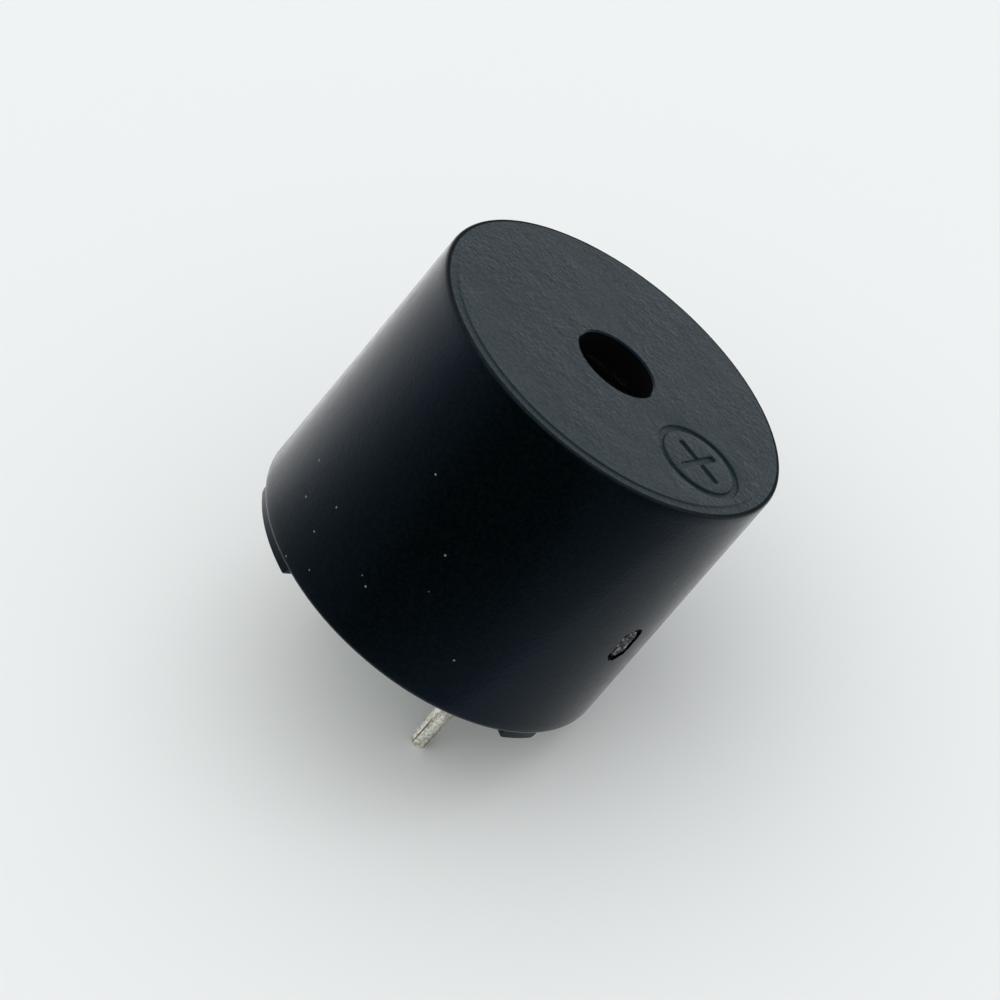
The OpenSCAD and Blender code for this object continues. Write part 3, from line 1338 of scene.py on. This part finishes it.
@dataclass
class Sounder:
    """What the case holds: magnet, core, coil, yoke, support ring, diaphragm and armature.

    Outer radii and heights are the frame's. The bores are stated here.
    """

    coil_bore: float = 1.05
    wire_diameter: float = 0.1
    # Share of the wire that stands out of the coil's body.
    wire_bed: float = 0.6
    magnet_bore: float = 3.5
    ring_bore: float = 4.55
    ring_pocket: float = 4.8
    break_edge: float = 0.05

    def tube_profile(self, node: str, bore: float = 0.0, trim: float = 0.0) -> list[Point2]:
        """Lists the section of a tube or, with no bore, of a disc.

        Args:
            node: CAD node that gives its outer radius and its ends.
            bore: Its inner radius.
            trim: How much smaller its outer radius is than the node's.

        Returns:
            Its corners, with broken outer edges.
        """
        radius, low, high = span(node)
        outer = radius - trim
        edge = min(self.break_edge, (high - low) / 4)
        return [
            (bore, low),
            (outer - edge, low),
            (outer, low + edge),
            (outer, high - edge),
            (outer - edge, high),
            (bore, high),
        ]

    def ring_profile(self) -> list[Point2]:
        """Lists the section of the support ring.

        Returns:
            Its corners, with the pocket that the diaphragm lies in.
        """
        radius, low, high = span("support_ring")
        seat = span("diaphragm")[1]
        inner, pocket = self.ring_bore, self.ring_pocket
        return [(inner, low), (radius, low), (radius, high), (pocket, high), (pocket, seat), (inner, seat)]

    def build(self) -> None:
        """Builds the turned pieces and the coil."""
        pieces = (
            ("support_ring", self.ring_profile(), RING, "ring_plastic"),
            ("magnet", self.tube_profile("magnet", self.magnet_bore), FERRITE, "ferrite"),
            ("core", self.tube_profile("core"), IRON, "soft_iron"),
            ("diaphragm", self.tube_profile("diaphragm"), FOIL, "diaphragm_steel"),
            ("armature", self.tube_profile("armature"), IRON, "soft_iron"),
        )
        for name, profile, finish, slot in pieces:
            piece = turned(f"{name}_turned", profile, segments=128)
            dress(piece, finish)
            settle(piece, name)
        repaint(IRON, "yoke_plate")
        self.build_coil()

    def build_coil(self) -> None:
        """Grows the outer layer of wire round the body of the coil."""
        radius, low, high = span("coil")
        wire = self.wire_diameter
        height = high - low - wire
        turns = math.floor(height / wire)
        inputs = (
            GrowthInput("Turns", "NodeSocketFloat", float(turns)),
            GrowthInput("Winding Radius", "NodeSocketFloat", mm(radius - wire / 2)),
            GrowthInput("Winding Height", "NodeSocketFloat", mm(height)),
            GrowthInput("Wire Radius", "NodeSocketFloat", mm(wire / 2)),
            GrowthInput("Start", "NodeSocketVector", (0.0, 0.0, mm(low + wire / 2))),
            GrowthInput("Material", "NodeSocketMaterial", WIRE.material()),
        )
        body = self.tube_profile("coil", self.coil_bore, wire * self.wire_bed)
        coil = turned("coil_wound", body, segments=96)
        grow(coil, winding_tree(inputs), inputs)
        settle(coil, "coil")


def winding_tree(inputs: Sequence[GrowthInput]) -> Tree:
    """Builds the tree that winds one layer of round wire about the Z axis.

    Args:
        inputs: Its named inputs.

    Returns:
        The tree.
    """
    tree, start = growth_tree("winding", inputs)
    helix = add_node(
        tree,
        "GeometryNodeCurveSpiral",
        {
            "Resolution": 64,
            "Rotations": start.outputs["Turns"],
            "Start Radius": start.outputs["Winding Radius"],
            "End Radius": start.outputs["Winding Radius"],
            "Height": start.outputs["Winding Height"],
        },
    )
    moved = add_node(
        tree,
        "GeometryNodeTransform",
        {"Geometry": helix.outputs[0], "Translation": start.outputs["Start"]},
    )
    round_wire = add_node(
        tree, "GeometryNodeCurvePrimitiveCircle", {"Resolution": 10, "Radius": start.outputs["Wire Radius"]}
    )
    tube = add_node(
        tree,
        "GeometryNodeCurveToMesh",
        {"Curve": moved.outputs[0], "Profile Curve": round_wire.outputs[0], "Fill Caps": True},
    )
    both = add_node(tree, "GeometryNodeJoinGeometry")
    tree.links.new(start.outputs["Geometry"], both.inputs[0])
    tree.links.new(tube.outputs[0], both.inputs[0])
    close_tree(tree, both.outputs[0], start.outputs["Material"])
    return tree


# ---------------------------------------------------------------- stage


def between(points: Sequence[Point2], spot: float) -> float:
    """Reads a line through points, level beyond its ends.

    Args:
        points: Place and value of each corner of the line, in order.
        spot: The place to read at.

    Returns:
        The value there.
    """
    if spot <= points[0][0]:
        return points[0][1]
    for (x0, y0), (x1, y1) in zip(points, points[1:]):
        if spot <= x1:
            return y0 + (y1 - y0) * (spot - x0) / (x1 - x0)
    return points[-1][1]


def spread(points: Sequence[Point2], steps: int) -> list[float]:
    """Lists places at equal steps along a line through points.

    Args:
        points: Place and value of each corner of the line, in order.
        steps: Number of steps.

    Returns:
        The places, both ends included.
    """
    first, last = points[0][0], points[-1][0]
    return [first + (last - first) * i / steps for i in range(steps + 1)]


@dataclass(frozen=True)
class Card:
    """A bent card with soft edges round the part, which only reflections see: a painted reflection, dark
    where it has no glow and bright where it glows.

    Directions run from the camera's side, 0, to its right, 90. Heights are from the middle of the part.
    """

    name: str
    glow: float
    across: tuple[Point2, ...]
    upright: tuple[Point2, ...]
    radius: float = 14.0
    steps: tuple[int, int] = (72, 38)

    def mesh(self, axes: tuple[Vector, Vector, Vector], middle: Vector) -> bpy.types.Mesh:
        """Builds the card's mesh with its cover, from 0 to 1, as an attribute.

        Args:
            axes: Right, far and up.
            middle: Middle of the part.

        Returns:
            The mesh.
        """
        right, far, up = axes
        columns, rows = self.steps
        turns, heights = spread(self.across, columns), spread(self.upright, rows)
        points, covers = [], []
        for turn in turns:
            a = math.radians(turn)
            foot = middle + (right * math.sin(a) - far * math.cos(a)) * mm(self.radius)
            for height in heights:
                points.append(tuple(foot + up * mm(height)))
                covers.append(between(self.across, turn) * between(self.upright, height))
        corners = [i * (rows + 1) + j for i in range(columns) for j in range(rows)]
        faces = [(k, k + rows + 1, k + rows + 2, k + 1) for k in corners]
        mesh = bpy.data.meshes.new(self.name)
        mesh.from_pydata(points, [], faces)
        cover = mesh.attributes.new("cover", "FLOAT", "POINT")
        for value, item in zip(covers, cover.data):
            item.value = value
        return mesh

    def material(self) -> bpy.types.Material:
        """Builds the card's even glow.

        Returns:
            The material, which is clear where the card's cover is 0.
        """
        material = new_material(self.name)
        tree = material.node_tree
        tree.nodes.clear()
        cover = add_node(tree, "ShaderNodeAttribute", attribute_name="cover").outputs["Fac"]
        clear = add_node(tree, "ShaderNodeBsdfTransparent").outputs[0]
        glow = add_node(tree, "ShaderNodeEmission", {"Strength": self.glow}).outputs[0]
        mixed = add_node(tree, "ShaderNodeMixShader", {0: cover, 1: clear, 2: glow})
        add_node(tree, "ShaderNodeOutputMaterial", {"Surface": mixed.outputs[0]})
        return material

    def build(self, axes: tuple[Vector, Vector, Vector], middle_height: float) -> None:
        """Hangs the card round the part.

        Args:
            axes: Right, far and up.
            middle_height: Height of the part's middle on its own axis, in metres.
        """
        card = put(self.name, self.mesh(axes, Vector((0, 0, middle_height))))
        card.data.materials.append(self.material())
        for kind in ("camera", "diffuse", "transmission", "volume_scatter", "shadow"):
            setattr(card, f"visible_{kind}", False)


@dataclass
class Stage:
    """The pale paper that the part leans on, the soft light over it, and the camera.

    Angles are in degrees. The camera aims past the middle of the case's top, by aside and above.
    """

    lean: float = 36.0
    lean_turn: float = 74.2
    paper_color: str = "#eef1f1"
    paper_radius: float = 400.0
    sky_base: float = 0.525
    sky_zenith: float = 1.129
    sky_far: float = 0.28
    sky_right: float = 0.205
    focal_length: float = 126.47
    sensor: float = 36.0
    camera_turn: float = 31.0
    camera_height: float = 29.18
    camera_roll: float = 40.39
    aside: float = 3.345
    above: float = 3.89
    distance: float = 100.24
    clip: Point2 = (5.0, 2000.0)
    case_top: float = field(init=False)
    cards: tuple[Card, ...] = (
        # A dark card on the camera's side, which paints a dark reflection on the case.
        Card(
            "painted_dark_reflection",
            glow=0.0,
            across=(
                (-100, 0.0), (-85, 0.4), (-71, 0.67), (-57, 0.82), (-44, 1.0), (-4, 1.0),
                (8, 0.82), (30, 0.75), (45, 0.6), (75, 0.0),
            ),
            upright=((-12, 0.0), (-6.5, 0.45), (-4, 0.58), (-2, 0.8), (0, 0.92), (2, 1.0), (26, 1.0)),
        ),
        # A glowing card on the far left, which paints a bright reflection on the case.
        Card(
            "light_card",
            glow=1.22,
            across=((-172, 0.0), (-160, 1.0), (-112, 1.0), (-98, 0.0)),
            upright=((-12, 1.0), (14, 1.0), (20, 0.0)),
        ),
    )

    def __post_init__(self) -> None:
        """Reads the height of the case's top, which the camera and the cards are placed by."""
        self.case_top = span("case")[2]

    def up(self) -> Vector:
        """Direction straight up from the paper."""
        lean, turn = math.radians(self.lean), math.radians(self.lean_turn)
        return Vector((-math.sin(lean) * math.cos(turn), -math.sin(lean) * math.sin(turn), math.cos(lean)))

    def camera_axes(self) -> tuple[Vector, Vector, Vector]:
        """Works out the camera's directions.

        Returns:
            Its right, its up and its back, in the frame of the part.
        """
        turn, height = math.radians(self.camera_turn), math.radians(self.camera_height)
        roll = math.radians(self.camera_roll)
        level = Vector((math.cos(turn), math.sin(turn), 0))
        towards = Vector((math.sin(turn), -math.cos(turn), 0))
        back = towards * math.cos(height) + Vector((0, 0, math.sin(height)))
        upright = back.cross(level)
        right = level * math.cos(roll) + upright * math.sin(roll)
        return right, back.cross(right), back

    def paper_material(self) -> bpy.types.Material:
        """Builds the matte paper.

        Returns:
            The material, which is clear from below.
        """
        values = {"Base Color": linear(self.paper_color), "Roughness": 1.0, "Specular IOR Level": 0.0}
        material = new_material("matte_paper", values)
        tree = material.node_tree
        below = add_node(tree, "ShaderNodeNewGeometry").outputs["Backfacing"]
        clear = add_node(tree, "ShaderNodeBsdfTransparent").outputs[0]
        matte = tree.nodes["Principled BSDF"].outputs[0]
        one_way = add_node(tree, "ShaderNodeMixShader", {0: below, 1: matte, 2: clear})
        tree.links.new(one_way.outputs[0], tree.nodes["Material Output"].inputs["Surface"])
        return material

    def lay_paper(self) -> None:
        """Lays the paper under the lowest point of the part."""
        up = self.up()
        lowest = min(up.dot(v.co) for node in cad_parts.values() for v in node.data.vertices)
        sheet = bmesh.new()
        bmesh.ops.create_circle(sheet, cap_ends=True, segments=96, radius=mm(self.paper_radius))
        mesh = bpy.data.meshes.new("paper")
        sheet.to_mesh(mesh)
        sheet.free()
        turn = up.to_track_quat("Z", "Y").to_matrix().to_4x4()
        paper = place(put("paper", mesh), Matrix.Translation(up * lowest) @ turn)
        if mesh.polygons[0].normal.dot(up) < 0:
            mesh.flip_normals()
        mesh.materials.append(self.paper_material())

    def paper_axes(self) -> tuple[Vector, Vector, Vector]:
        """Works out the paper's directions.

        Returns:
            Its right and its far side, as the camera sees them, and straight up.
        """
        up = self.up()
        right = self.camera_axes()[0]
        level_right = (right - up * up.dot(right)).normalized()
        return level_right, up.cross(level_right), up

    def light(self) -> None:
        """Lights the part with a soft sky that is brightest overhead.

        The camera sees a pale backdrop instead, and reflections see white, with the cards before it.
        """
        level_right, far, up = self.paper_axes()
        pull = up * self.sky_zenith + far * self.sky_far + level_right * self.sky_right
        world = bpy.data.worlds.new("soft_sky")
        bpy.context.scene.world = world
        world.use_nodes = True
        tree = world.node_tree
        tree.nodes.clear()
        ray = add_node(tree, "ShaderNodeTexCoord").outputs["Generated"]
        lean = add_node(tree, "ShaderNodeVectorMath", {0: ray, 1: tuple(pull)}, operation="DOT_PRODUCT")
        level = {0: lean.outputs["Value"], 1: self.sky_base}
        bright = {0: add_node(tree, "ShaderNodeMath", level, operation="ADD").outputs[0], 1: 0.0}
        strength = add_node(tree, "ShaderNodeMath", bright, operation="MAXIMUM").outputs[0]
        sky = add_node(tree, "ShaderNodeBackground", {"Strength": strength}).outputs[0]
        backdrop = add_node(tree, "ShaderNodeBackground", {"Color": linear(self.paper_color)}).outputs[0]
        white = add_node(tree, "ShaderNodeBackground", {"Color": linear("#ffffff")}).outputs[0]
        path = add_node(tree, "ShaderNodeLightPath").outputs
        bounces = {0: path["Is Glossy Ray"], 1: path["Is Transmission Ray"]}
        mirrored = add_node(tree, "ShaderNodeMath", bounces, operation="MAXIMUM").outputs[0]
        shown = {0: path["Is Camera Ray"], 1: sky, 2: backdrop}
        plain = add_node(tree, "ShaderNodeMixShader", shown).outputs[0]
        seen = add_node(tree, "ShaderNodeMixShader", {0: mirrored, 1: plain, 2: white})
        add_node(tree, "ShaderNodeOutputWorld", {"Surface": seen.outputs[0]})

    def shoot(self) -> None:
        """Sets up the camera."""
        right, up, back = self.camera_axes()
        top = Vector((0, 0, mm(self.case_top)))
        spot = top - right * mm(self.aside) - up * mm(self.above) + back * mm(self.distance)
        data = bpy.data.cameras.new("camera")
        data.sensor_width = self.sensor
        data.lens = self.focal_length
        data.clip_start, data.clip_end = (mm(reach) for reach in self.clip)
        camera = put("camera", data)
        axes = Matrix((right, up, back)).transposed().to_4x4()
        camera.matrix_world = Matrix.Translation(spot) @ axes
        bpy.context.scene.camera = camera

    def build(self) -> None:
        """Builds the whole stage."""
        self.shoot()
        self.lay_paper()
        self.light()
        for card in self.cards:
            card.build(self.paper_axes(), mm(self.case_top / 2))
        bpy.context.scene.view_settings.view_transform = "Standard"
        LOG.info("stage: paper, sky and camera")


# ---------------------------------------------------------------- run


def main() -> None:
    """Builds the part and its stage in order."""
    logging.basicConfig(level=logging.INFO, format="%(name)s: %(message)s")
    stage = Stage()
    stage.build()
    case = Case()
    case.build()
    case.dress()
    for side in Polarity:
        Terminal(side).build()
    board = Board()
    board.build()
    board.dress()
    Sounder().build()


if __name__ == "__main__":
    main()
